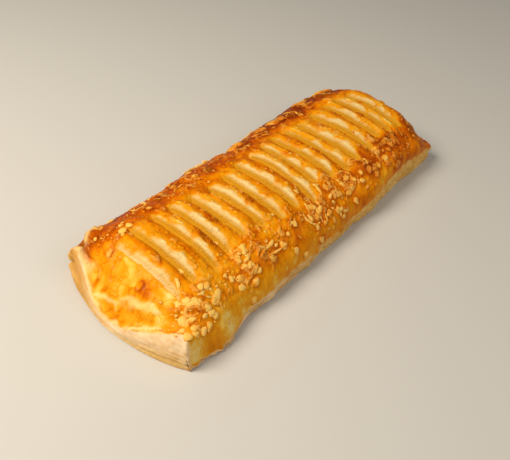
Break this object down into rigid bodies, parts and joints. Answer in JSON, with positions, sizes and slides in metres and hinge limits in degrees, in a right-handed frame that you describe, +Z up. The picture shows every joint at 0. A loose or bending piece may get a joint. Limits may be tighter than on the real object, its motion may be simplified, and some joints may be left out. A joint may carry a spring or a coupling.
{
  "type": "cheese pastry",
  "caption": "Oblong bar of golden egg-glazed puff pastry with pale slits across its domed top, layered pale sides and toasted grated cheese on its shoulders",
  "frame": {"origin": "centre of the flat base", "axes": "+X along the bar from the pinched near end to the far end, -Y towards the front long side, +Z up"},
  "size_m": [0.163, 0.0629, 0.024],
  "materials": {
    "glazed_crust": "egg-glazed puff pastry, half glossy amber to red-brown on top and matt pale dough where it is cut or layered",
    "grated_cheese": "melted and toasted grated cheese, slightly greasy, pale with browned edges",
    "pale_dough": "matt flaky dough leaves at the bar's ends and sides"
  },
  "bodies": {
    "root": {"pastry": "glazed_crust"}
  },
  "joints": []
}
